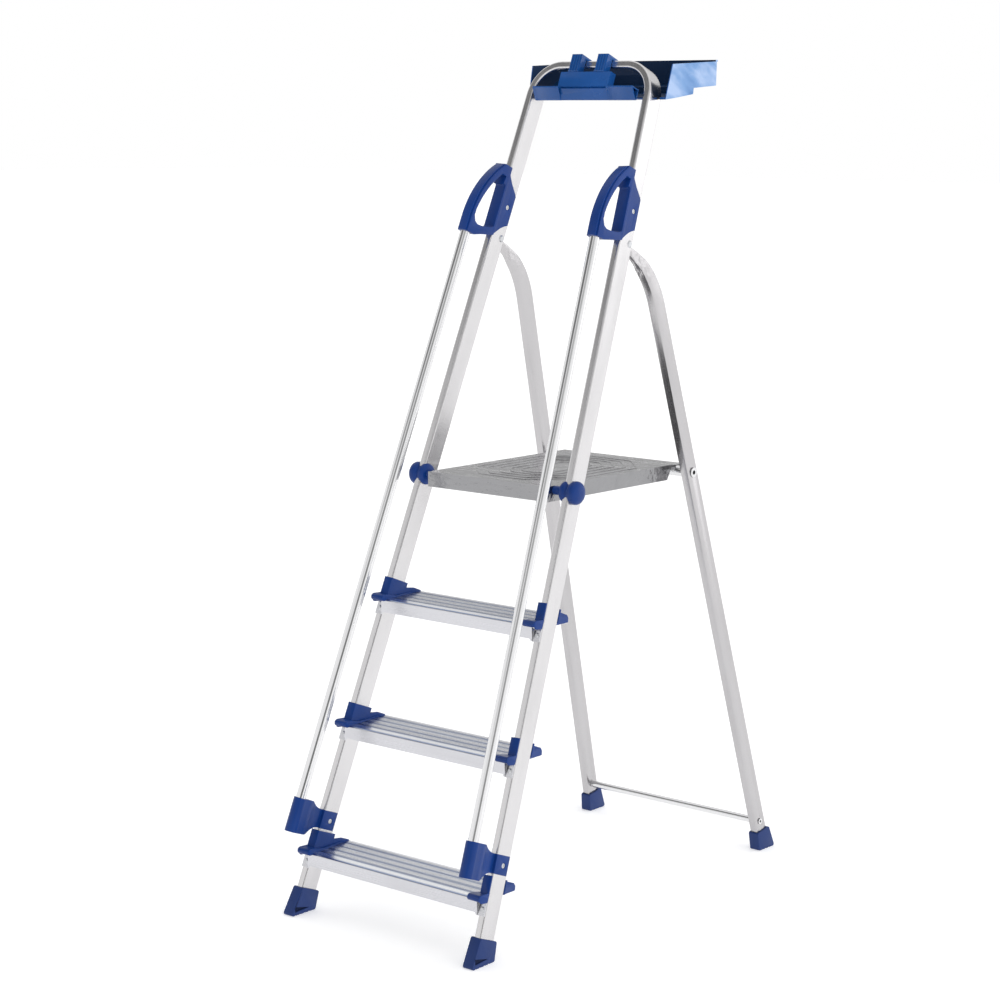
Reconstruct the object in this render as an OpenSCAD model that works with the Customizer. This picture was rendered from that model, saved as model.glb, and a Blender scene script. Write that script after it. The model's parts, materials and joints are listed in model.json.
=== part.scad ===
// Household step ladder: three treads, a fold-down platform, a rear frame hinged
// inside the stiles, two handrails and a tool tray on the top hoop.
// X runs across the ladder, Y from front to back, Z up. The origin lies on the
// floor, below the middle of the whole outline.

/* [Frame geometry] */
// Backward rake of the stiles, degrees
rake = 21.1; // [20.6:0.1:21.6]
// Inward lean of each stile and rear leg, degrees
splay = 2.8; // [2.7:0.1:2.9]
// Forward lean of the rear legs, degrees
lean = 16.1; // [15.6:0.1:16.4]
// Half the distance between the stile centres at the floor
base_half = 219.5; // [219:0.5:222]
// Distance from the floor to the top hinge, measured along the stile
hinge_l = 1348.6; // [1346:0.2:1350]
// Top of the hoop, measured along the raked plane
hoop_top = 1700; // [1695:1:1704]

/* [Tubes] */
// Stile width, across the ladder
stile_w = 15.5; // [15:0.1:16]
// Stile depth
stile_d = 41.5; // [41:0.1:42]
// Corner radius of the stile section
stile_r = 4; // [3:0.1:4.5]
// Wall of the stiles and rear legs
tube_wall = 1.5; // [1.3:0.1:1.7]
// Rear leg depth
leg_d = 31; // [30:0.5:32]
// Handrail diameter
rail_d = 19.5; // [19:0.1:20]
// Platform support tube diameter
brace_d = 21; // [20:0.1:21]
// Lower cross bar diameter
bar_d = 14; // [13:0.5:15]

/* [Treads] */
// Height of the first tread
first_tread = 115.5; // [114:0.5:118]
// Height from tread to tread
tread_rise = 230; // [228:0.5:231]
// Tread depth, front edge to back edge
tread_d = 108.7; // [104:0.1:112]
// Height of the front skirt
skirt_h = 25; // [23:0.5:27]

/* [Platform] */
// Height of the platform surface
deck_z = 813; // [811:0.5:814]
// Half the platform width
deck_half = 144.7; // [143:0.1:145.5]
// Platform depth
deck_d = 422; // [419:0.5:424]
// Height of the platform skirts
deck_skirt = 28.8; // [26:0.2:29]

/* [Tray] */
// Half the tray width at the rim
tray_half = 169; // [167:0.5:170]
// Wall of the tray
tray_wall = 2.2; // [2:0.1:2.6]

/* [Output] */
// Piece to draw

/* [Hidden] */

alu = [0.80, 0.81, 0.83];
zinc = [0.66, 0.67, 0.70];
blue = [0.16, 0.22, 0.50];
tray_blue = [0.20, 0.36, 0.66];
nylon = [0.90, 0.89, 0.85];
$fn = 48;

fit = 0.05;
hair = 0.02;
gap = 0.3;
far = 2000;
sole = 8;
half_w = stile_w / 2;
inner_w = half_w - tube_wall;

// Top hinge
hinge_u = 31.5;
hinge_s = hinge_l * cos(splay);
pivot_x = base_half - hinge_l * sin(splay);
pivot_y = hinge_s * sin(rake) + hinge_u * cos(rake);
pivot_z = hinge_s * cos(rake) - hinge_u * sin(rake);
pin_r = 4;
lug_r = 10;
lug_half = 4.7;
washer_r = 6.2;
washer_t = 1.2;
splice_l = hinge_l + 71;

// Rear leg outline, measured from the hinge
leg_v0 = 39.5;
leg_v1 = leg_v0 + leg_d;
bend_t = -140;
outer_c = -97.5;
inner_c = -153.6;
crimp_r0 = 42;
crimp_r1 = 62;
leg_foot_t = -(pivot_z + leg_v0 * sin(lean)) / (cos(splay) * cos(lean));
leg_floor_y = pivot_y + leg_v0 * cos(lean) - leg_foot_t * cos(splay) * sin(lean);

// Hoop
hoop_bend = 62;
hoop_c_s = hoop_top - half_w - hoop_bend;
hoop_bend_l = (hoop_c_s + hoop_bend * sin(splay)) / cos(splay);
hoop_c_x = base_half - hoop_bend_l * sin(splay) - hoop_bend * cos(splay);

// Handrail
rail_u = -66;
rail_l0 = 156.5;
rail_l1 = hinge_l - 4.5;
sleeve_r = 12.5;
sleeve_l0 = 150;
collar_half = 10.75;
grip_half = 12.5;
bracket_screw_l = 185;
handle_screw_l = hinge_l + 60;
screw_u = 20.5;
screw_r = 2.5;
screw_head_r = 4.5;

// The outline reaches from the rail bracket to the heel of the rear foot
heel = 46;
heel_top = [27, 44];
foot_r = 4;
heel_half = acos((heel - heel_top[0]) / norm([heel - heel_top[0], heel_top[1]])) / 2;
heel_reach = heel + foot_r - foot_r / tan(heel_half);
front_y = sleeve_l0 * cos(splay) * sin(rake) + (rail_u - sleeve_r) * cos(rake);
origin_y = (front_y + leg_floor_y + heel_reach) / 2;

// Treads
plate_t = 2.2;
nose_y = -13.7;
cap_nose = 12;
cap_in = 20;
cap_t = 3;
cap_h = 40;
rivet_drop = 20;
back_skirt = 14;
nose_r = 6;
roll_z = 4;
low_t = 3.2;

// Platform and its pivot
plat_s = 865.5;
plat_u = 7.5;
plat_y = plat_s * sin(rake) + plat_u * cos(rake);
plat_z = plat_s * cos(rake) - plat_u * sin(rake);
plat_x = base_half - plat_s * tan(splay);
deck_y0 = plat_y - 19.5;
deck_y1 = deck_y0 + deck_d;
deck_t = 2.2;
// Lobes of the saddle: middle, half width and radius
outer_lobe = [12.7, 12.5, 21.8];
inner_lobe = [-7.1, 10, 20.6];
lobe_u = 4.4;
spacer_r = 8.3;
bush_r = 5.4;
pin_head_r = 5.6;

// Tubes between the rear legs
brace_v = 58;
brace_z = deck_z - deck_t - gap - brace_d / 2;
brace_t = -(pivot_z + brace_v * sin(lean) - brace_z) / (cos(splay) * cos(lean));
brace_y = pivot_y + brace_v * cos(lean) - brace_t * cos(splay) * sin(lean);
bar_v = leg_v0 + leg_d / 2;
bar_t = leg_foot_t + 58;
bar_y = pivot_y + bar_v * cos(lean) - bar_t * cos(splay) * sin(lean);
bar_z = pivot_z + bar_v * sin(lean) + bar_t * cos(splay) * cos(lean);

// Tray, placed from the top front edge of the hoop
tray_y = hoop_top * sin(rake);
tray_z = hoop_top * cos(rake);
tray_front = -74;
tray_draft = 3.5;
clip_x = 31;
clip_half = 12;
block_s0 = hoop_top - 60;
block_s1 = hoop_top - 30;
block_half = 59.5;
block_u = -17;
block_wall = 2.5;
tower_u = -16.5;
clip_u = tower_u - 1;
clip_s = block_s1 + gap + 1.2;

function tread_z(i) = first_tread + (i - 1) * tread_rise;
function tread_l(i) = tread_z(i) / (cos(rake) * cos(splay));
function unit(a) = a / norm(a);
// Corner of a path rounded to radius r with n short steps
function corner(p, q, s, r, n) =
    let (a = unit(p - q), b = unit(s - q), h = acos(max(-1, min(1, a * b))) / 2,
         m = min(norm(p - q), norm(s - q)) * 0.48, d = min(r / tan(h), m), rr = d * tan(h),
         c = q + unit(a + b) * (rr / sin(h)), t0 = q + a * d, t1 = q + b * d,
         w0 = atan2(t0[1] - c[1], t0[0] - c[0]), w1 = atan2(t1[1] - c[1], t1[0] - c[0]),
         dw = ((w1 - w0 + 540) % 360) - 180)
    [for (k = [0:n]) c + rr * [cos(w0 + dw * k / n), sin(w0 + dw * k / n)]];
function rounded(pts, r, n = 5) = [for (i = [0:len(pts) - 1])
    each corner(pts[(i + len(pts) - 1) % len(pts)], pts[i], pts[(i + 1) % len(pts)], r, n)];

module rake_frame() translate([0, -origin_y, 0]) rotate([-rake, 0, 0]) children();
module stile_frame() rake_frame() translate([base_half, 0, 0]) rotate([0, -splay, 0]) children();
module leg_frame() translate([pivot_x, pivot_y - origin_y, pivot_z]) rotate([lean, 0, 0])
    rotate([0, -splay, 0]) children();
module tray_frame() translate([0, tray_y - origin_y, tray_z]) children();
module left() mirror([1, 0, 0]) children();
module both() {
    children();
    left() children();
}
// Side view outline (depth, height) given a thickness across the ladder
module side_extrude(w) rotate([90, 0, 90]) linear_extrude(height = w, center = true) children();
module along_x(r, w) rotate([0, 90, 0]) cylinder(r = r, h = w, center = true);

module rounded_rect(w, d, r) {
    square([w - 2 * r, d], center = true);
    square([w, d - 2 * r], center = true);
    for (sx = [-1, 1], sy = [-1, 1])
        translate([sx * (w / 2 - r), sy * (d / 2 - r)]) circle(r = r);
}
module tube_section() difference() {
    rounded_rect(stile_w, stile_d, stile_r);
    rounded_rect(stile_w - 2 * tube_wall, stile_d - 2 * tube_wall, stile_r - tube_wall);
}
module below_floor_cut(z) translate([-far / 2, -far, z - far]) cube([far, 2 * far, far]);
module hinge_axis(r, w) translate([pivot_x, pivot_y - origin_y, pivot_z]) along_x(r, w);
module platform_axis(r, w) translate([plat_x, plat_y - origin_y, plat_z]) along_x(r, w);

// Stiles, hoop and splices
module stile() color(alu) difference() {
    stile_frame() translate([0, stile_d / 2, 0]) linear_extrude(height = splice_l) tube_section();
    below_floor_cut(sole);
    stile_frame() {
        translate([-5.5, stile_d - 4, hinge_l - 42]) cube([11, 8, 48]);
        translate([0, screw_u, handle_screw_l]) along_x(screw_r + fit, 60);
        translate([0, screw_u, bracket_screw_l]) along_x(screw_r + fit, 60);
        for (i = [1:3])
            translate([0, -5, tread_l(i) - rivet_drop]) rotate([-90, 0, 0]) cylinder(r = 2.5 + fit, h = 12);
    }
    platform_axis(pin_r + fit, 60);
    hinge_axis(pin_r + fit, 60);
}
module hoop_section(i) rounded_rect(stile_w - 2 * i, stile_d - 2 * i, stile_r - i);
// The straight runs are a hair thicker than the bends and reach 1 mm into them
module hoop_path(i) {
    both() {
        stile_frame() translate([0, stile_d / 2, splice_l - i])
            linear_extrude(height = hoop_bend_l - splice_l + i + 1) hoop_section(i - hair);
        rake_frame() translate([hoop_c_x, stile_d / 2, hoop_c_s]) rotate([90, 0, 0]) rotate([0, 0, splay])
            rotate_extrude(angle = 90 - splay) translate([hoop_bend, 0]) hoop_section(i);
    }
    rake_frame() translate([0, stile_d / 2, hoop_c_s + hoop_bend]) rotate([0, 90, 0])
        linear_extrude(height = 2 * hoop_c_x + 2, center = true) hoop_section(i - hair);
}
module top_hoop() color(alu) difference() {
    hoop_path(0);
    hoop_path(tube_wall);
}
module hoop_splice() color(zinc) difference() {
    stile_frame() translate([0, stile_d / 2, splice_l - 42]) linear_extrude(height = 72) difference() {
        square([2 * inner_w - 2 * fit, stile_d - 2 * tube_wall - 8], center = true);
        square([2 * inner_w - 4, stile_d - 2 * tube_wall - 12], center = true);
    }
    stile_frame() translate([0, screw_u, handle_screw_l]) along_x(screw_r + fit, 60);
}

// Treads
module tread_profile() {
    back = nose_y + tread_d;
    difference() {
        translate([nose_y, -skirt_h]) square([tread_d, skirt_h]);
        translate([nose_y + 2, -skirt_h - 1]) square([tread_d - 4, skirt_h + 1 - plate_t]);
        translate([back - 7, -skirt_h - 1]) square([9, skirt_h + 1 - back_skirt]);
        translate([nose_y, -3]) difference() {
            translate([-1, 0]) square([4, 4]);
            translate([3, 0]) circle(r = 3);
        }
        for (g = [8, 31, 54, 77])
            translate([g, -0.9]) square([3.4, 2]);
        for (g = [13.4:2.4:90])
            if (abs(g - 32) > 4 && abs(g - 55) > 4 && abs(g - 78) > 4)
                translate([g, -0.35]) square([1.1, 1]);
    }
    translate([nose_y + 1, -skirt_h]) square([5, 2]);
    translate([back - 6, -back_skirt]) square([5, 2]);
}
module tread(i) color(alu) difference() {
    union() {
        difference() {
            translate([0, tread_z(i) * tan(rake) - origin_y, tread_z(i)]) side_extrude(2 * base_half)
                tread_profile();
            both() stile_frame() {
                translate([-half_w - fit, -300, -50]) cube([far, 800, far]);
                translate([-half_w - cap_t - fit, stile_d + gap, -50]) cube([far, 800, far]);
            }
        }
        both() intersection() {
            stile_frame() translate([0, 0, tread_l(i) - 32]) linear_extrude(height = 24)
                polygon([[half_w - 0.5, -fit], [half_w - 0.5, -2], [-7, -2], [-26, -15], [-28, -13.5],
                    [-8.3, -fit]]);
            translate([-far / 2, tread_z(i) * tan(rake) + nose_y - origin_y, 0]) cube([far, far, far]);
        }
    }
    both() stile_frame() translate([0, -6, tread_l(i) - rivet_drop]) rotate([-90, 0, 0])
        cylinder(r = 2.5 + fit, h = 12);
}
module tread_rivet(i) stile_frame() translate([0, 0, tread_l(i) - rivet_drop]) rotate([90, 0, 0]) {
    translate([0, 0, -tube_wall - 2]) cylinder(r = 2.5, h = tube_wall + 5);
    translate([0, 0, 2 + fit]) cylinder(r1 = 4.6, r2 = 3, h = 1.6);
    translate([0, 0, -tube_wall - 1.8]) cylinder(r = 3.6, h = 1.7);
}
module tread_rivets() color(zinc) for (i = [1:3]) both() tread_rivet(i);

// Tread end cap: roll over the front edge, upstand around the stile, fin behind it
module tread_cap(i) color(blue) {
    z0 = tread_z(i);
    cx = base_half - tread_l(i) * sin(splay);
    roll_y = nose_y - cap_nose + nose_r;
    difference() {
        union() {
            translate([cx, z0 * tan(rake) - origin_y, z0]) {
                translate([(half_w - cap_in) / 2, 0, 0]) side_extrude(half_w + cap_in) union() {
                    translate([roll_y, roll_z]) circle(r = nose_r);
                    polygon([[roll_y, roll_z - nose_r], [roll_y, roll_z + nose_r], [nose_y + 5, 9], [18, low_t],
                        [18, -1.2], [nose_y + 2, roll_z - nose_r]]);
                }
                translate([half_w - 1.5, 0, 0]) side_extrude(3)
                    polygon(rounded([[roll_y - nose_r - 0.4, 7], [roll_y, roll_z + nose_r + 0.6], [6, 9], [6, -8],
                        [roll_y, -5]], 2));
                linear_extrude(height = low_t) polygon([[-cap_in, nose_y], [-cap_in, 12], [-11.5, 87],
                    [-8.8, 91], [-8.8, nose_y]]);
            }
            intersection() {
                translate([cx, z0 * tan(rake) - origin_y, z0]) side_extrude(40)
                    polygon(rounded([[40, -12], [40, 12], [56, 12], [74, 9.5], [93, 2], [96.5, -4], [95.4, -12]], 2));
                stile_frame() translate([-half_w - cap_t, 0, tread_l(i) - 80]) cube([cap_t - gap, 200, 200]);
            }
            stile_frame() translate([0, 0, tread_l(i) - 1]) {
                translate([-half_w - cap_t, -cap_t, 0]) cube([stile_w + cap_t, cap_t + 5, cap_h + 1]);
                translate([-half_w - cap_t, -cap_t, 0]) cube([cap_t + 1, stile_d + cap_t + 3, cap_h + 1]);
                translate([-half_w - cap_t, stile_d - 2, 13]) cube([stile_w + cap_t, 5, 26]);
            }
        }
        stile_frame() translate([-half_w - fit, -fit, tread_l(i) - 60])
            cube([stile_w + 10, stile_d + 2 * fit, 140]);
        difference() {
            translate([0, z0 * tan(rake) - origin_y, z0 - 50 - fit]) translate([0, nose_y - fit, 0])
                cube([far, tread_d + 2 * fit + 100, 50 + 2 * fit]);
            stile_frame() {
                translate([-half_w, -60, -50]) cube([far, 800, far]);
                translate([-half_w - cap_t, stile_d + gap + fit, -50]) cube([far, 800, far]);
            }
        }
        stile_frame() translate([-half_w - 1, -2.8, tread_l(i) - 60]) cube([stile_w + 2, 2.9, 52.3]);
    }
}

// Handrail, its lower bracket and the moulded handle at its top
module handrail() color(alu) stile_frame() translate([0, rail_u, rail_l0]) difference() {
    cylinder(r = rail_d / 2, h = rail_l1 - rail_l0);
    translate([0, 0, -1]) cylinder(r = rail_d / 2 - 1.2, h = rail_l1 - rail_l0 + 2);
}
module bracket_side() polygon(concat([[-80, sleeve_l0], [-40, sleeve_l0 + 0.5]],
    [for (k = [0:6]) [-35 + 30 * k / 6, sleeve_l0 + 2.5 + 16 * sin(15 * k)]],
    [[34.5, 168], [34.5, 203.2], [-5, 203.2]],
    [for (k = [0:6]) [-8 - 30 * k / 6, 203.5 + 11.5 * (1 - cos(15 * k))]], [[-80, 215]]));
// Right edge of the neck between sleeve and collar
neck = concat([[sleeve_r - 0.4, rail_u], [12, -50]],
    [for (k = [0:5]) [5.5 + 6.2 * (1 - sin(18 * k)), -44 + 26 * k / 5]], [[5, -6], [5, -1]]);
module rail_bracket() color(blue) stile_frame() difference() {
    intersection() {
        side_extrude(60) bracket_side();
        translate([0, 0, sleeve_l0 - 5]) linear_extrude(height = 80) {
            translate([0, rail_u]) circle(r = sleeve_r);
            polygon(concat([for (p = neck) p], [for (k = [len(neck) - 1:-1:0]) [-neck[k][0], neck[k][1]]]));
            translate([0, 15.75]) square([2 * collar_half, 37.5], center = true);
        }
    }
    translate([0, rail_u, rail_l0 - gap]) cylinder(r = rail_d / 2 + fit, h = 80);
    translate([-half_w - fit, -fit, 100]) cube([stile_w + 2 * fit, 80, 200]);
    translate([0, screw_u, bracket_screw_l]) screw_seat();
}
function arc(p, q, rise, n) =
    let (h = norm(q - p) / 2, r = (h * h + rise * rise) / (2 * rise), d = unit(q - p), up = [-d[1], d[0]],
         c = (p + q) / 2 - up * (r - rise), w = asin(h / r))
    [for (k = [0:n]) let (v = -w + 2 * w * k / n) c + r * (d * sin(v) + up * cos(v))];
module grip_side(i) difference() {
    polygon(concat([[-79 + i, -6], [-79 + i, -20], [-54, -21], [-36, -14], [0, -3], [0, 134], [-20 - i / 2, 134]],
        [for (p = arc([-26 + i, 131], [-79 + i, 4], -14, 12)) p]));
    polygon(concat(rounded([[-5.5, 107], [-5.5, 12], [-12, 8], [-36, 2], [-52, 0.5], [-61, 4], [-64 - i, 16]], 4),
        [for (p = arc([-63 - i, 26], [-19 - i, 114], 7, 8)) p], [[-10, 113]]));
}
module handle() color(blue) stile_frame() translate([0, 0, hinge_l]) difference() {
    union() {
        side_extrude(2 * grip_half) grip_side(4);
        side_extrude(2 * grip_half - 7) grip_side(0);
        side_extrude(2 * collar_half) polygon(concat([[-5.5, -4], [0, -2], [8, 7.5], [17, 16.8], [26, 23.3],
            [34.5, 27.5], [34.5, 86], [31.5, 91], [14.5, 105.5], [5, 116], [-1, 124.5], [-5.5, 130]]));
    }
    translate([0, rail_u, -60]) cylinder(r = rail_d / 2 + fit, h = 60 - 4.5 + gap);
    translate([-half_w - fit, -fit, -60]) cube([stile_w + 2 * fit, 80, 300]);
    translate([0, screw_u, handle_screw_l - hinge_l]) screw_seat();
}
module screw_seat() {
    along_x(screw_r + fit, 60);
    for (m = [-1, 1]) translate([m * collar_half, 0, 0]) along_x(screw_head_r + 0.5, 4);
}
module screw(l) stile_frame() translate([0, screw_u, l]) {
    for (m = [-1, 1]) translate([m * (collar_half - 1.3), 0, 0]) along_x(screw_head_r, 1.4);
    along_x(screw_r, 2 * collar_half - 3);
}
module handle_screws() color(zinc) both() screw(handle_screw_l);
module bracket_screws() color(zinc) both() screw(bracket_screw_l);

// Top hinge
module hinge_rivet() {
    hinge_axis(pin_r, stile_w + 3);
    stile_frame() translate([0, hinge_u, hinge_l]) for (m = [0, 1]) mirror([m, 0, 0])
        translate([half_w + 0.02, 0, 0]) rotate([0, 90, 0]) cylinder(r1 = 7.2, r2 = 4.8, h = 2);
}
module hinge_rivets() color(zinc) both() hinge_rivet();
module hinge_washers() color(nylon) both() difference() {
    stile_frame() translate([0, hinge_u, hinge_l]) for (m = [0, 1]) mirror([m, 0, 0])
        translate([lug_half + gap + washer_t / 2, 0, 0]) along_x(washer_r, washer_t);
    hinge_axis(pin_r + fit, 60);
}

// Platform pivot: a two-lobed saddle on each stile, pin and spacer
module lobe(x, a, b) translate([x, 0, 0]) rotate([0, 90, 0]) rotate_extrude()
    polygon([for (k = [0:14]) let (v = 180 * k / 14, c = cos(v))
        [b * pow(sin(v), 0.8), -a * sign(c) * pow(abs(c), 0.8)]]);
module platform_saddle() color(blue) difference() {
    translate([plat_x, plat_y - origin_y + lobe_u * cos(rake), plat_z - lobe_u * sin(rake)]) {
        lobe(outer_lobe[0], outer_lobe[1], outer_lobe[2]);
        lobe(inner_lobe[0], inner_lobe[1], inner_lobe[2]);
        translate([2, 0, 0]) along_x(17, 24);
    }
    stile_frame() translate([-half_w - fit, -fit, 800]) cube([stile_w + 2 * fit, 80, 140]);
    translate([-15.6, 0, 0]) platform_axis(pin_r + fit, 51.8);
}
module platform_pivot_pins() color(zinc) both() {
    translate([-13.65, 0, 0]) platform_axis(pin_r, 47.3);
    translate([deck_half - deck_t - gap - 1.5 - plat_x, 0, 0]) platform_axis(pin_head_r, 3);
}
module pivot_spacers() color(blue) both() difference() {
    end = inner_lobe[1] - inner_lobe[0];
    l = plat_x - end - deck_half - gap - 0.2;
    translate([-end - 0.1 - l / 2, 0, 0]) platform_axis(spacer_r, l);
    platform_axis(pin_r + fit, 100);
}

// Feet
module front_foot() color(blue) difference() {
    intersection() {
        translate([base_half, -origin_y, 0]) side_extrude(60)
            polygon(rounded([[-12, 0], [52, 0], [60.5, 34.5], [16.5, 51.5]], foot_r));
        stile_frame() translate([-11.5, -120, -60]) cube([23, 300, 200]);
    }
    difference() {
        stile_frame() translate([-half_w - fit, -fit, -60]) cube([stile_w + 2 * fit, stile_d + 2 * fit, 300]);
        below_floor_cut(sole);
    }
    translate([base_half, -origin_y, 0]) rotate([0, -splay, 0]) for (m = [-1, 1]) translate([m * 11.9, 0, 0])
        side_extrude(5) polygon([[-2, 7], [-2, 18], [34, 9.5]]);
    for (g = [6, 18, 30, 42])
        translate([base_half - 30, g - 8 - origin_y, -1]) cube([60, 3, 2.2]);
}
module rear_foot() color(blue) difference() {
    intersection() {
        translate([base_half, leg_floor_y - origin_y, 0]) side_extrude(80)
            polygon(rounded([[-9, 0], [heel, 0], heel_top, [-14, 37]], foot_r));
        leg_frame() translate([-11.5, -100, leg_foot_t - 60]) cube([23, 300, 200]);
    }
    difference() {
        leg_frame() translate([-half_w - fit, leg_v0 - fit, leg_foot_t - 60])
            cube([stile_w + 2 * fit, leg_d + 2 * fit, 300]);
        below_floor_cut(sole);
    }
    for (g = [0, 12, 24])
        translate([base_half - 30, leg_floor_y + g - origin_y, -1]) cube([60, 3, 2.2]);
}

// Rear legs
module leg_outline(i) {
    translate([leg_v0 + i, leg_foot_t - 20]) square([leg_d - 2 * i, bend_t - leg_foot_t + 20]);
    intersection() {
        difference() {
            translate([outer_c, bend_t]) circle(r = leg_v1 - outer_c - i, $fn = 180);
            translate([inner_c, bend_t]) circle(r = leg_v0 - inner_c + i, $fn = 180);
        }
        translate([-2.5, bend_t]) square([100, 200]);
    }
}
module rear_leg() color(alu) difference() {
    leg_frame() intersection() {
        side_extrude(stile_w) union() {
            leg_outline(0);
            circle(r = lug_r);
            polygon([[-9.2, -4], [-2.5, -20.1], [3, -12]]);
        }
        rotate([0, 90, 0]) rotate_extrude($fn = 96) polygon([[0, -lug_half], [crimp_r0, -lug_half],
            [crimp_r1, -half_w], [far, -half_w], [far, half_w], [crimp_r1, half_w], [crimp_r0, lug_half],
            [0, lug_half]]);
    }
    hinge_axis(pin_r + fit, 40);
    leg_frame() difference() {
        side_extrude(stile_w - 2 * tube_wall) leg_outline(tube_wall);
        along_x(crimp_r1 + 14, 60);
    }
    below_floor_cut(sole);
    translate([pivot_x, brace_y - origin_y, brace_z]) along_x(7.5 + fit, 120);
    translate([base_half, bar_y - origin_y, bar_z]) along_x(4.5 + fit, 80);
}
function leg_x(t) = pivot_x - t * sin(splay);
module support_tube() color(alu) translate([0, brace_y - origin_y, brace_z]) difference() {
    x0 = leg_x(brace_t);
    union() {
        along_x(brace_d / 2, 2 * (x0 - half_w - 0.7));
        along_x(7.5, 2 * (x0 + half_w + 1.8));
        for (m = [0, 1]) mirror([m, 0, 0]) translate([x0 + half_w + 1.3, 0, 0]) along_x(9.5, 1.2);
    }
    along_x(brace_d / 2 - 1.2, 2 * (x0 - half_w - 3));
    along_x(4.2, 500);
}
module cross_bar() color(alu) translate([0, bar_y - origin_y, bar_z]) difference() {
    x0 = leg_x(bar_t);
    union() {
        along_x(bar_d / 2, 2 * (x0 - half_w - 0.5));
        along_x(4.5, 2 * (x0 + half_w + 1.6));
        for (m = [0, 1]) mirror([m, 0, 0]) translate([x0 + half_w + 1.1, 0, 0]) along_x(6, 1);
    }
    along_x(bar_d / 2 - 1.2, 2 * (x0 - half_w - 3));
    along_x(2.6, 520);
}

// Platform
module deck_ring(k) difference() {
    deck_oval(122 - 21 * k, 170 - 21 * k);
    deck_oval(118.5 - 21 * k, 166.5 - 21 * k);
}
module deck_oval(a, b) polygon(rounded([[a, -b + a * 0.6], [a, b - a * 0.6], [a * 0.45, b], [-a * 0.45, b],
    [-a, b - a * 0.6], [-a, -b + a * 0.6], [-a * 0.45, -b], [a * 0.45, -b]], 26, 4));
module platform_deck() color(alu) difference() {
    translate([0, -origin_y, 0]) union() {
        translate([0, deck_y0, deck_z]) side_extrude(2 * deck_half) difference() {
            translate([0, -deck_skirt]) square([deck_d, deck_skirt]);
            translate([deck_t, -deck_skirt - 1]) square([deck_d - 2 * deck_t, deck_skirt + 1 - deck_t]);
            translate([deck_d - 10, -deck_skirt - 1]) square([20, deck_skirt - 15]);
        }
        translate([0, (deck_y0 + deck_y1) / 2, deck_z - 0.1]) linear_extrude(height = 0.7)
            for (k = [0:4]) deck_ring(k);
        both() translate([deck_half - deck_t / 2, 0, 0]) side_extrude(deck_t) difference() {
            polygon([[deck_y0, deck_z - 1], [deck_y0, deck_z - deck_skirt], [brace_y - 30, deck_z - deck_skirt],
                [brace_y - 14, deck_z - 1]]);
        }
    }
    both() platform_axis(bush_r + fit, 100);
}
module platform_bushes() color(nylon) both() difference() {
    translate([deck_half - deck_t / 2 - plat_x, 0, 0]) platform_axis(bush_r, deck_t);
    platform_axis(pin_r + fit, 100);
}

// Tool tray
module tray_wedge(h) both() intersection() {
    translate([-1, -far / 2, -200]) cube([far, far, 400]);
    translate([h, 0, 0]) rotate([0, tray_draft, 0]) translate([-far, -far / 2, -200]) cube([far, far, 400]);
}
module tool_tray() color(tray_blue, 0.75) difference() {
    union() {
        tray_frame() difference() {
            union() {
                intersection() {
                    tray_wedge(tray_half);
                    side_extrude(400) polygon([[4.5, -74], [35, -70.5], [93, -62.5], [94, -51], [168, -45],
                        [165.3, 0.5], [21, -8]]);
                }
                translate([-tray_half, 161.5, 0]) cube([2 * tray_half, 7, 3.5]);
            }
            intersection() {
                tray_wedge(tray_half - tray_wall);
                side_extrude(400) polygon([[-30, -71.6], [35, -68.2], [90.5, -60.4], [91.6, -48.8],
                    [165.6, -42.7], [163.1, 30], [-30, 30]]);
            }
        }
        rake_frame() {
            translate([-119, 0.6, hoop_top - 80]) cube([238, 2.4, 21]);
            translate([-block_half, block_u, block_s0]) cube([2 * block_half, -block_u - 0.7, block_s1 - block_s0]);
            translate([-block_half, -4, block_s0]) cube([2 * block_half, 7, block_wall]);
            both() translate([88, 0, hoop_top]) side_extrude(62)
                polygon([[-19, -61.9], [-19, -59.5], [3, -59.5], [3, -61.9], [-15.6, -61.9], [1, -81], [-1.6, -81]]);
            translate([0, 0, hoop_top]) side_extrude(116)
                polygon([[-13, -62.5], [-11, -59.5], [3, -60], [3, -62], [-9, -62.5], [0.5, -79], [-1.6, -80]]);
        }
        tray_frame() translate([-119, -25.5, -74.3]) cube([238, 34, 2.4]);
    }
    rake_frame() translate([block_wall - block_half, block_u + block_wall, block_s0 + block_wall])
        cube([2 * (block_half - block_wall), 30, block_s1 - block_s0 - 2 * block_wall]);
    both() rake_frame() translate([119, -20, hoop_top - 120]) cube([32, 65, 200]);
}
module clip() color(tray_blue, 0.85) rake_frame() translate([clip_x, 0, 0]) {
    translate([-clip_half, tower_u, block_s1 + gap]) cube([2 * clip_half, -tower_u - 1, hoop_top - block_s1 + 3]);
    translate([-clip_half, tower_u, hoop_top + gap]) cube([2 * clip_half, 16 - tower_u, 6]);
    translate([0, clip_u, clip_s]) along_x(1.2, 2 * clip_half);
    for (k = [-1.5, -0.5, 0.5, 1.5])
        translate([k * 6 - 1.3, tower_u - 1.2, block_s1 + 2]) cube([2.6, 2, 32]);
}

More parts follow.
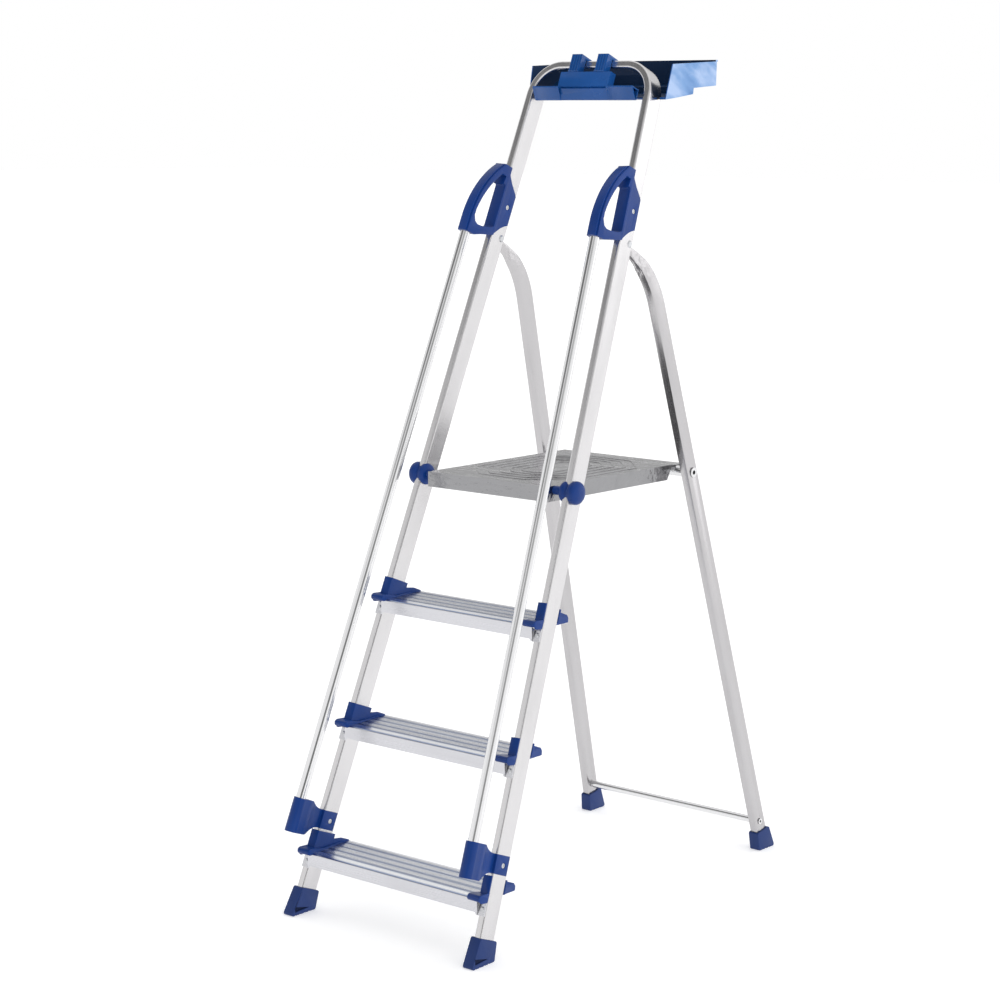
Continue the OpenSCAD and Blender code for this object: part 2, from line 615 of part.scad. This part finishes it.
left() stile();  // left_stile
stile();  // right_stile
top_hoop();
left() hoop_splice();  // left_hoop_splice
hoop_splice();  // right_hoop_splice
tread(1);  // tread_1
tread(2);  // tread_2
tread(3);  // tread_3
left() tread_cap(1);  // tread_1_cap_left
tread_cap(1);  // tread_1_cap_right
left() tread_cap(2);  // tread_2_cap_left
tread_cap(2);  // tread_2_cap_right
left() tread_cap(3);  // tread_3_cap_left
tread_cap(3);  // tread_3_cap_right
tread_rivets();
left() handrail();  // left_handrail
handrail();  // right_handrail
left() handle();  // left_handle
handle();  // right_handle
left() rail_bracket();  // left_rail_bracket
rail_bracket();  // right_rail_bracket
handle_screws();
bracket_screws();
hinge_rivets();
hinge_washers();
left() platform_saddle();  // left_platform_saddle
platform_saddle();  // right_platform_saddle
platform_pivot_pins();
pivot_spacers();
left() front_foot();  // left_front_foot
front_foot();  // right_front_foot
left() rear_leg();  // left_rear_leg
rear_leg();  // right_rear_leg
support_tube();
cross_bar();
left() rear_foot();  // left_rear_foot
rear_foot();  // right_rear_foot
platform_deck();
platform_bushes();
tool_tray();
left() clip();  // left_clip
clip();  // right_clip
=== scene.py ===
import bpy, bmesh, json, math
from mathutils import Vector, Matrix


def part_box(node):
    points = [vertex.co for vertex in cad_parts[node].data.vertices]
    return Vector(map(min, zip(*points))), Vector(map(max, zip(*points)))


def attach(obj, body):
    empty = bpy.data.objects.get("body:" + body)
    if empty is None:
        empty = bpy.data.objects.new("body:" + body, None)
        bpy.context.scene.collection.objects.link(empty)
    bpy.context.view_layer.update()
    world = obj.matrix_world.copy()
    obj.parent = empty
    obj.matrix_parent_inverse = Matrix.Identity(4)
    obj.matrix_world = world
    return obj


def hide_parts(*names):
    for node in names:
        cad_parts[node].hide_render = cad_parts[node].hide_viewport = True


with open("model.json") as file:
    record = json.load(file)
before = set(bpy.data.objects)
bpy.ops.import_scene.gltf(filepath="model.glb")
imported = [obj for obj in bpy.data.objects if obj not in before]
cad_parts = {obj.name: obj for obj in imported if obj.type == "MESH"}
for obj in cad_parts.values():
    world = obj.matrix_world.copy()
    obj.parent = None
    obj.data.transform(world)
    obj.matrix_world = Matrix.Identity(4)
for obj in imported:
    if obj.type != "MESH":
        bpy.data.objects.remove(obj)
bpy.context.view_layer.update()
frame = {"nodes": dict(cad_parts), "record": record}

# ---------------------------------------------------------------- ladder geometry, as in part.scad
RAKE, SPLAY, LEAN = (math.radians(a) for a in (21.1, 2.8, 16.1))
HALF = 0.2195                          # stile centre to the middle plane, at the floor
ORIGIN_Y = 0.46974                     # from the stiles' front faces to the origin, at the floor
PIVOT_Y, PIVOT_Z = 0.04456, 1.24534    # the top hinge

# Directions of the metal's grain: along the stiles, along the rear legs, across the ladder
RAKED = (RAKE, 0, 0)
LEANT = (-LEAN, 0, 0)
ACROSS = (0, math.radians(90), 0)


# ---------------------------------------------------------------- node helpers
def new_material(name, rgb, rough, metal=0.0):
    m = bpy.data.materials.new(name)
    m.use_nodes = True
    nt = m.node_tree
    b = nt.nodes["Principled BSDF"]
    b.inputs["Base Color"].default_value = (*rgb, 1)
    b.inputs["Roughness"].default_value = rough
    b.inputs["Metallic"].default_value = metal
    return m, nt, b


def add(nt, kind, **settings):
    n = nt.nodes.new(kind)
    for k, v in settings.items():
        setattr(n, k, v)
    return n


def coords(nt, rot=(0, 0, 0), scale=(1, 1, 1)):
    """Object coordinates, turned first and stretched after."""
    t = add(nt, "ShaderNodeTexCoord")
    turned = add(nt, "ShaderNodeMapping")
    turned.inputs["Rotation"].default_value = rot
    nt.links.new(t.outputs["Object"], turned.inputs["Vector"])
    stretched = add(nt, "ShaderNodeVectorMath", operation="MULTIPLY")
    stretched.inputs[1].default_value = scale
    nt.links.new(turned.outputs["Vector"], stretched.inputs[0])
    return stretched.outputs["Vector"]


def noise(nt, vec, scale=1.0, detail=4, rough=0.55):
    n = add(nt, "ShaderNodeTexNoise")
    n.inputs["Scale"].default_value = scale
    n.inputs["Detail"].default_value = detail
    n.inputs["Roughness"].default_value = rough
    nt.links.new(vec, n.inputs["Vector"])
    return n.outputs["Fac"]


def ramp(nt, fac, stops):
    """A colour ramp through (position, colour) stops."""
    r = add(nt, "ShaderNodeValToRGB")
    elements = r.color_ramp.elements
    elements.remove(elements[-1])
    elements[0].position = stops[0][0]
    elements[0].color = (*stops[0][1], 1)
    for position, colour in stops[1:]:
        elements.new(position).color = (*colour, 1)
    nt.links.new(fac, r.inputs["Fac"])
    return r.outputs["Color"]


def bump(nt, bsdf, height, strength, dist, under=None):
    """A bump on the shader's normal, laid over an earlier one if there is one."""
    b = add(nt, "ShaderNodeBump")
    b.inputs["Strength"].default_value = strength
    b.inputs["Distance"].default_value = dist
    nt.links.new(height, b.inputs["Height"])
    if under is not None:
        nt.links.new(under, b.inputs["Normal"])
    nt.links.new(b.outputs["Normal"], bsdf.inputs["Normal"])
    return b.outputs["Normal"]


def grey(v):
    return (v, v, v)


def shade(rgb, factor):
    return tuple(min(1, c * factor) for c in rgb)


# ---------------------------------------------------------------- materials
# How closely each pattern repeats, per metre, across the grain twice and then along it
DRAW_LINES = (900, 900, 6)
SOFT_STREAKS = (30, 30, 5)
RIPPLES = (34, 34, 14)
PRESS_MARKS = (70, 70, 40)
LINE_WEIGHT = 0.8                      # of the draw lines, beside 1 for the soft streaks
LINE_DEPTH, RIPPLE_DEPTH, GRAIN_DEPTH = 0.0004, 0.004, 0.0002


def aluminium(name, tint, rough, along, draw=1.0, wavy=0.0):
    """Drawn aluminium: fine draw lines and long soft streaks one way, and ripples if wavy."""
    m, nt, b = new_material(name, tint, rough, 1.0)
    lines = noise(nt, coords(nt, along, DRAW_LINES), detail=3, rough=0.6)
    streaks = noise(nt, coords(nt, along, SOFT_STREAKS), detail=3, rough=0.5)
    mix = add(nt, "ShaderNodeMath", operation="MULTIPLY_ADD")
    mix.inputs[1].default_value = LINE_WEIGHT
    nt.links.new(lines, mix.inputs[0])
    nt.links.new(streaks, mix.inputs[2])
    tones = [(0.55, shade(tint, 0.94)), (1.2, shade(tint, 1.05))]
    nt.links.new(ramp(nt, mix.outputs[0], tones), b.inputs["Base Color"])
    gloss = [(0.5, grey(rough - 0.03)), (1.2, grey(rough + 0.04))]
    nt.links.new(ramp(nt, mix.outputs[0], gloss), b.inputs["Roughness"])
    fine = bump(nt, b, lines, 0.10 * draw, LINE_DEPTH)
    if wavy:
        ripples = noise(nt, coords(nt, along, RIPPLES), detail=3)
        bump(nt, b, ripples, wavy, RIPPLE_DEPTH, fine)
    return m


def plastic(name, rgb, rough, grain=0.25, shine=0.25):
    """Injection-moulded plastic: fine spark-eroded grain and slight tone drift."""
    m, nt, b = new_material(name, rgb, rough)
    b.inputs["Specular IOR Level"].default_value = shine
    drift = noise(nt, coords(nt), 9, 4, 0.6)
    fine = noise(nt, coords(nt), 1500, 2, 0.5)
    tones = [(0.3, shade(rgb, 0.86)), (0.75, shade(rgb, 1.12))]
    nt.links.new(ramp(nt, drift, tones), b.inputs["Base Color"])
    gloss = [(0.3, grey(rough - 0.05)), (0.8, grey(rough + 0.08))]
    nt.links.new(ramp(nt, drift, gloss), b.inputs["Roughness"])
    bump(nt, b, fine, grain, GRAIN_DEPTH)
    return m


stile_alu = aluminium("stile_aluminium", (0.66, 0.65, 0.66), 0.20, RAKED)
leg_alu = aluminium("leg_aluminium", (0.50, 0.49, 0.50), 0.22, LEANT, wavy=0.10)
rail_alu = aluminium("rail_aluminium", (0.80, 0.80, 0.81), 0.10, RAKED, draw=0.4)
bar_alu = aluminium("bar_aluminium", (0.74, 0.74, 0.75), 0.18, ACROSS, draw=0.6)
tread_alu = aluminium("tread_aluminium", (0.60, 0.60, 0.63), 0.24, ACROSS, wavy=0.08)
# A brighter copy of the tread metal: painted light for the faces turned up
painted_light_tread_upper = aluminium("tread_upper_painted_light", (0.92, 0.93, 0.97), 0.22, ACROSS)
deck_alu = aluminium("deck_aluminium", (0.30, 0.30, 0.31), 0.16, ACROSS, wavy=0.8)
steel = aluminium("zinc_steel", (0.58, 0.59, 0.61), 0.28, RAKED)
navy = plastic("moulded_blue", (0.004, 0.036, 0.195), 0.36)
foot_blue = plastic("foot_blue", (0.013, 0.036, 0.150), 0.46, grain=0.35)
nylon = plastic("nylon", (0.62, 0.62, 0.60), 0.45)
tray_mat = plastic("tray_plastic", (0.010, 0.080, 0.30), 0.24, grain=0.08, shine=0.35)
# A lighter copy of the tray plastic: painted light for the tray's outer side walls
painted_light_tray_outer = plastic("tray_outer_painted_light", (0.21, 0.36, 0.66), 0.28, grain=0.08, shine=0.5)
# A darker copy of the tray plastic: painted shade for the faces inside the tray
painted_shade_tray_hollow = plastic("tray_hollow_painted_shade", (0.004, 0.024, 0.075), 0.36, grain=0.08, shine=0.12)
# A darker copy of the foot plastic: painted shade for the floor of the pocket
foot_painted_shade = plastic("pocket_floor_painted_shade", (0.004, 0.010, 0.040), 0.5, grain=0.35, shine=0.1)
# A darker copy of the tray plastic: painted shade for the middle of the tray's front lip
painted_shade_lip_middle = plastic("lip_middle_painted_shade", (0.006, 0.036, 0.135), 0.34, grain=0.08, shine=0.2)

# The outer side walls of the tray take a lighter copy of its plastic as painted light from the
# right, with uneven tones on them as painted reflections
nt = painted_light_tray_outer.node_tree
reflection_patches = noise(nt, coords(nt, (0.4, 0, 0), (14, 9, 22)), detail=3, rough=0.5)
tones = [(0.36, (0.075, 0.20, 0.46)), (0.50, (0.17, 0.32, 0.60)), (0.62, (0.36, 0.49, 0.74))]
nt.links.new(ramp(nt, reflection_patches, tones), nt.nodes["Principled BSDF"].inputs["Base Color"])

# Painted reflections: broad dark stripes along the tread tops, centred on the grooves
STRIPE_PITCH, STRIPE_START = 0.023, 0.001
BRIGHT_STRIPE, REFLECTED_DARK = (1.0, 1.0, 1.0), (0.36, 0.43, 0.60)
STRIPE_STOPS = [(0.08, BRIGHT_STRIPE), (0.34, REFLECTED_DARK), (0.44, REFLECTED_DARK),
                (0.72, BRIGHT_STRIPE)]
nt = painted_light_tread_upper.node_tree
parts = add(nt, "ShaderNodeSeparateXYZ")
nt.links.new(coords(nt), parts.inputs[0])
from_rake = add(nt, "ShaderNodeMath", operation="MULTIPLY_ADD")
from_rake.inputs[1].default_value = -math.tan(RAKE)
nt.links.new(parts.outputs["Z"], from_rake.inputs[0])
nt.links.new(parts.outputs["Y"], from_rake.inputs[2])
count = add(nt, "ShaderNodeMath", operation="MULTIPLY_ADD")
count.inputs[1].default_value = 1 / STRIPE_PITCH
count.inputs[2].default_value = (ORIGIN_Y - STRIPE_START) / STRIPE_PITCH
nt.links.new(from_rake.outputs[0], count.inputs[0])
phase = add(nt, "ShaderNodeMath", operation="FRACT")
nt.links.new(count.outputs[0], phase.inputs[0])
stripes = ramp(nt, phase.outputs[0], STRIPE_STOPS)
top_bsdf = nt.nodes["Principled BSDF"]
striped = add(nt, "ShaderNodeVectorMath", operation="MULTIPLY")
nt.links.new(top_bsdf.inputs["Base Color"].links[0].from_socket, striped.inputs[0])
nt.links.new(stripes, striped.inputs[1])
nt.links.new(striped.outputs["Vector"], top_bsdf.inputs["Base Color"])

# Shallow press marks on the leg where it is squeezed flat for the hinge
MARK_REACH = [(0.02, grey(0.4)), (0.05, grey(1.0)), (0.11, grey(0.0))]
nt = leg_alu.node_tree
offset = add(nt, "ShaderNodeVectorMath", operation="SUBTRACT")
offset.inputs[1].default_value = (0, PIVOT_Y, PIVOT_Z)
nt.links.new(coords(nt, scale=(0, 1, 1)), offset.inputs[0])
reach = add(nt, "ShaderNodeVectorMath", operation="LENGTH")
nt.links.new(offset.outputs["Vector"], reach.inputs[0])
near = ramp(nt, reach.outputs["Value"], MARK_REACH)
marks = add(nt, "ShaderNodeMath", operation="MULTIPLY")
nt.links.new(near, marks.inputs[0])
nt.links.new(noise(nt, coords(nt, LEANT, PRESS_MARKS), detail=2, rough=0.5), marks.inputs[1])
leg_bsdf = nt.nodes["Principled BSDF"]
drawn = leg_bsdf.inputs["Normal"].links[0].from_socket
bump(nt, leg_bsdf, marks.outputs[0], 0.8, RIPPLE_DEPTH, drawn)

MATS = {"stile_aluminium": stile_alu, "rail_aluminium": rail_alu, "tread_aluminium": tread_alu,
        "moulded_blue": navy, "foot_plastic": foot_blue, "zinc_steel": steel, "nylon": nylon,
        "tray_plastic": tray_mat}
SPECIAL = {"left_rear_leg": leg_alu, "right_rear_leg": leg_alu, "support_tube": bar_alu,
           "cross_bar": bar_alu, "platform_deck": deck_alu}
SLOT = {s["node"]: s["material_slot"] for s in frame["record"]["subparts"]}
BODY = {n: b for b, ns in frame["record"]["behaviour"]["bodies"].items() for n in ns}


def finish_of(node):
    return SPECIAL.get(node, MATS[SLOT[node]])


for name, ob in frame["nodes"].items():
    for s in ob.material_slots:
        s.material = finish_of(name)


# ---------------------------------------------------------------- finished pieces
SMOOTH_BELOW = math.radians(33)        # edges that turn less than this are shaded smooth


def put(name, data):
    """A new object in the scene."""
    ob = bpy.data.objects.new(name, data)
    bpy.context.collection.objects.link(ob)
    return ob


def mesh_piece(bm, node, mats):
    """Turn a bmesh into a piece that stands for one CAD node."""
    name = f"{node}_finished"
    me = bpy.data.meshes.new(name)
    for e in bm.edges:
        e.smooth = not (len(e.link_faces) == 2 and e.calc_face_angle(0) > SMOOTH_BELOW)
    for f in bm.faces:
        f.smooth = True
    bm.to_mesh(me)
    bm.free()
    for m in mats:
        me.materials.append(m)
    ob = put(name, me)
    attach(ob, BODY[node])
    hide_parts(node)


def node_bmesh(node):
    """A clean copy of a CAD node's mesh, with its flat faces whole again."""
    bm = bmesh.new()
    bm.from_mesh(frame["nodes"][node].data)
    bmesh.ops.remove_doubles(bm, verts=bm.verts, dist=2e-6)
    bmesh.ops.dissolve_limit(bm, angle_limit=math.radians(0.8), verts=bm.verts, edges=bm.edges)
    bm.normal_update()
    return bm


def soften(bm, width, segments=3, angle=30, pick=None):
    """Round the sharp edges as a mould or a drawn section rounds them."""
    sharp = [e for e in bm.edges if len(e.link_faces) == 2 and e.calc_length() > 1e-4
             and e.calc_face_angle(0) > math.radians(angle) and (pick is None or pick(e))]
    bmesh.ops.bevel(bm, geom=sharp, offset=width, segments=segments, profile=0.5,
                    affect="EDGES", clamp_overlap=True)
    bm.normal_update()


def within(verts, low, high):
    """Whether all of these points lie between two heights."""
    return all(low < v.co.z < high for v in verts)


# The side pocket of a front foot: its edges stay crisp, and its floor takes painted shade
POCKET_EDGES, POCKET_FACES = (0.0065, 0.0185), (0.0055, 0.0195)
ROUND = {"handle": 0.0030, "rail_bracket": 0.0012, "front_foot": 0.0028, "rear_foot": 0.0028,
         "rear_leg": 0.0026, "clip": 0.0008}
CAP_ROUND, TRAY_ROUND, HEAD_ROUND = 0.0009, 0.0007, 0.0005
for side in ("left", "right"):
    for what, width in ROUND.items():
        node = f"{side}_{what}"
        bm = node_bmesh(node)
        mats = [finish_of(node)]
        if what == "front_foot":
            soften(bm, width, pick=lambda e: not within(e.verts, *POCKET_EDGES))
            for f in bm.faces:
                pocket = within(f.verts, *POCKET_FACES) and abs(f.normal.x) > 0.9
                f.material_index = 1 if pocket else 0
            mats.append(foot_painted_shade)
        else:
            soften(bm, width)
        mesh_piece(bm, node, mats)
    for i in (1, 2, 3):
        node = f"tread_{i}_cap_{side}"
        bm = node_bmesh(node)
        soften(bm, CAP_ROUND, 2)
        mesh_piece(bm, node, [navy])

# The tread tops, the faces turned up, take a brighter copy of the tread metal as painted light,
# with painted reflection stripes over it
for i in (1, 2, 3):
    node = f"tread_{i}"
    bm = node_bmesh(node)
    for f in bm.faces:
        f.material_index = 1 if f.normal.z > 0.6 else 0
    mesh_piece(bm, node, [tread_alu, painted_light_tread_upper])

TRAY_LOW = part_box("tool_tray")[0]


def tray_finish(face):
    """Which of the tray's four materials a face takes: plain; inside, in painted shade; outer side
    wall, in painted light and painted reflections; or lip middle, in painted shade.
    """
    c, n = face.calc_center_median(), face.normal
    depth = c.y - TRAY_LOW.y
    sideways = abs(n.x) > 0.5
    if sideways and n.x * c.x > 0 and abs(c.x) > 0.15:
        return 2
    faces_in = (sideways and n.x * c.x < -1e-3) or (n.y < -0.5 and depth > 0.09) or n.z > 0.5
    if faces_in and depth > 0.045:
        return 1
    if depth < 0.085 and c.z > TRAY_LOW.z + 0.060 and abs(c.x) < 0.125:
        return 3
    return 0


bm = node_bmesh("tool_tray")
soften(bm, TRAY_ROUND, 2)
for f in bm.faces:
    f.material_index = tray_finish(f)
mesh_piece(bm, "tool_tray", [tray_mat, painted_shade_tray_hollow, painted_light_tray_outer, painted_shade_lip_middle])


# Cross-headed screws: rounded heads with a recess cut into each
def stile_space(x, u, l):
    """A place in the right stile: x off its middle, u behind its front face and l along it."""
    m = (Matrix.Translation((0, -ORIGIN_Y, 0)) @ Matrix.Rotation(-RAKE, 4, "X")
         @ Matrix.Translation((HALF, 0, 0)) @ Matrix.Rotation(-SPLAY, 4, "Y"))
    return m @ Matrix.Translation((x, u, l))


def carved(bm, cuts):
    """The mesh with the cutters taken out of it."""
    made = []
    for name, part in (("body", bm), ("cutters", cuts)):
        me = bpy.data.meshes.new(name)
        part.to_mesh(me)
        part.free()
        made.append(put(name, me))
    mod = made[0].modifiers.new("cut", "BOOLEAN")
    mod.operation, mod.object, mod.solver = "DIFFERENCE", made[1], "EXACT"
    deps = bpy.context.evaluated_depsgraph_get()
    me = bpy.data.meshes.new_from_object(made[0].evaluated_get(deps))
    out = bmesh.new()
    out.from_mesh(me)
    for ob in made:
        old = ob.data
        bpy.data.objects.remove(ob)
        bpy.data.meshes.remove(old)
    bpy.data.meshes.remove(me)
    return out


def cross_cutter(bm, where, arm, width, depth):
    """One plus-shaped prism, so that the cutter never crosses itself."""
    a, w, d = arm / 2, width / 2, depth / 2
    plus = [(a, -w), (a, w), (w, w), (w, a), (-w, a), (-w, w),
            (-a, w), (-a, -w), (-w, -w), (-w, -a), (w, -a), (w, -w)]
    lo = [bm.verts.new(where @ Vector((-d, y, z))) for y, z in plus]
    hi = [bm.verts.new(where @ Vector((d, y, z))) for y, z in plus]
    bm.faces.new(lo[::-1])
    bm.faces.new(hi)
    for k in range(len(plus)):
        after = (k + 1) % len(plus)
        bm.faces.new((lo[k], lo[after], hi[after], hi[k]))


# Where the faces of the screw heads are, as x, u and l in stile_space
HEAD_X, HEAD_U = 0.01015, 0.0205
HEAD_L = {"handle_screws": 1.4086, "bracket_screws": 0.185}
RECESS_ARM, RECESS_WIDTH, RECESS_DEPTH, RECESS_TURN = 0.0056, 0.0017, 0.0014, 0.35
for node, l in HEAD_L.items():
    bm = node_bmesh(node)
    soften(bm, HEAD_ROUND, 2, 60)
    cuts = bmesh.new()
    for side in (1, -1):
        for face in (1, -1):
            where = (Matrix.Diagonal((side, 1, 1, 1)) @ stile_space(face * HEAD_X, HEAD_U, l)
                     @ Matrix.Rotation(RECESS_TURN, 4, "X"))
            cross_cutter(cuts, where, RECESS_ARM, RECESS_WIDTH, RECESS_DEPTH)
    bmesh.ops.recalc_face_normals(cuts, faces=cuts.faces)
    mesh_piece(carved(bm, cuts), node, [steel])

# ---------------------------------------------------------------- floor
FLOOR_HALF = 60
floor_mat, fnt, fb = new_material("studio_floor", grey(0.97), 0.9)
fb.inputs["Specular IOR Level"].default_value = 0.0
fb.inputs["Emission Color"].default_value = (1, 1, 1, 1)
fb.inputs["Emission Strength"].default_value = 0.30
floor_tones = [(0.2, grey(0.955)), (0.8, grey(0.97))]
fnt.links.new(ramp(fnt, noise(fnt, coords(fnt), 3, 3), floor_tones), fb.inputs["Base Color"])
me = bpy.data.meshes.new("studio_floor")
corners = [(x * FLOOR_HALF, y * FLOOR_HALF, 0) for x, y in ((-1, -1), (1, -1), (1, 1), (-1, 1))]
me.from_pydata(corners, [], [(0, 1, 2, 3)])
me.materials.append(floor_mat)
floor = put("studio_floor", me)

# ---------------------------------------------------------------- room, as the metal mirrors it
world = bpy.data.worlds.new("studio")
bpy.context.scene.world = world
world.use_nodes = True
wn = world.node_tree


def wmath(op, *values):
    """A math node on numbers or sockets."""
    n = add(wn, "ShaderNodeMath", operation=op)
    for k, v in enumerate(values):
        if isinstance(v, (int, float)):
            n.inputs[k].default_value = v
        else:
            wn.links.new(v, n.inputs[k])
    return n.outputs[0]


def smooth(v, lo, hi):
    """0 at lo, 1 at hi, and an easy curve between."""
    n = add(wn, "ShaderNodeMapRange", interpolation_type="SMOOTHSTEP")
    n.inputs["From Min"].default_value = lo
    n.inputs["From Max"].default_value = hi
    wn.links.new(v, n.inputs["Value"])
    return n.outputs[0]


def blend(a, b, f):
    """a where f is 0, b where f is 1."""
    return wmath("ADD", a, wmath("MULTIPLY", wmath("SUBTRACT", b, a), f))


def every(first, *others):
    """The product of several factors."""
    for f in others:
        first = wmath("MULTIPLY", first, f)
    return first


direction = add(wn, "ShaderNodeTexCoord").outputs["Generated"]
sep = add(wn, "ShaderNodeSeparateXYZ")
wn.links.new(direction, sep.inputs[0])
dx, dy, dz = sep.outputs
level = wmath("ADD", wmath("MULTIPLY", dx, dx), wmath("MULTIPLY", dy, dy))
level = wmath("MAXIMUM", wmath("SQRT", level), 0.01)


def bearing(x, y):
    """1 for directions whose level part points along (x, y), and -1 for the opposite ones."""
    along = wmath("ADD", wmath("MULTIPLY", dx, x), wmath("MULTIPLY", dy, y))
    return wmath("DIVIDE", along, level)


toward = bearing(0.62, -0.77)          # from the ladder to the photograph's viewpoint
rightward = bearing(0.77, 0.62)        # to the right as seen from there


def tall(*stops):
    """Brightness by height, from 0 at the horizon to 1 overhead."""
    return ramp(wn, dz, [(height, grey(v)) for height, v in stops])


room = tall((0.0, 1.0), (0.25, 1.0), (0.6, 0.85), (1.0, 1.0))
back = tall((0.0, 1.0), (0.06, 1.0), (0.10, 0.44), (0.17, 0.44), (0.24, 0.74), (0.5, 0.9),
            (1.0, 1.0))
front = tall((0.0, 1.0), (0.36, 0.97), (0.42, 0.80), (0.465, 0.26), (0.54, 0.16), (0.75, 0.2),
             (1.0, 1.0))
lens_side = tall((0.0, 0.30), (0.2, 0.12), (0.5, 0.5), (0.9, 0.5), (1.0, 1.0))
sky = blend(room, back, smooth(toward, -0.55, -0.85))
sky = blend(sky, front, every(smooth(rightward, -0.45, -0.75), smooth(toward, -0.45, -0.15)))
sky = blend(sky, lens_side, smooth(toward, 0.90, 0.97))
# A low light box on the right
BOX_STRENGTH = 0.8
box_light = every(smooth(rightward, 0.80, 0.90), smooth(toward, 0.10, -0.02),
                  smooth(dz, 0.0, 0.03), smooth(dz, 0.26, 0.18))
sky = wmath("ADD", sky, wmath("MULTIPLY", box_light, BOX_STRENGTH))
# Seen straight on, the room is plain white from every side
sky = blend(sky, 1.0, add(wn, "ShaderNodeLightPath").outputs["Is Camera Ray"])
background = wn.nodes["Background"]
wn.links.new(sky, background.inputs["Color"])
background.inputs["Strength"].default_value = 1.0

# ---------------------------------------------------------------- light
# A weak broad light from the right, left out of the mirror-like reflections
SUN_FROM = Vector((0.93, -0.18, 0.32))
sun = bpy.data.lights.new("side_fill", "SUN")
sun.energy = 0.9
sun.angle = math.radians(25)
sun.use_shadow = False
sun_ob = put("side_fill", sun)
sun_ob.rotation_euler = SUN_FROM.to_track_quat("Z", "Y").to_euler()
sun_ob.visible_glossy = False

# ---------------------------------------------------------------- camera, fitted to the photograph
CAMERA_AT = Vector((2.7566, -3.0303 - ORIGIN_Y, 1.4522))
YAW, PITCH, ROLL = (math.radians(a) for a in (39.18, -8.83, 0.48))
cam = bpy.data.cameras.new("camera")
cam.sensor_width = 36
cam.lens = 84.73
cam.shift_x, cam.shift_y = -0.0048, -0.0038
cam_ob = put("camera", cam)
look = Vector((-math.sin(YAW) * math.cos(PITCH), math.cos(YAW) * math.cos(PITCH), math.sin(PITCH)))
right = Vector((math.cos(YAW), math.sin(YAW), 0))
up = right.cross(look)
rolled_right = right * math.cos(ROLL) + up * math.sin(ROLL)
rolled_up = up * math.cos(ROLL) - right * math.sin(ROLL)
placed = Matrix((rolled_right, rolled_up, -look)).transposed().to_4x4()
placed.translation = CAMERA_AT
cam_ob.matrix_world = placed
bpy.context.scene.camera = cam_ob
bpy.context.scene.view_settings.view_transform = "Standard"
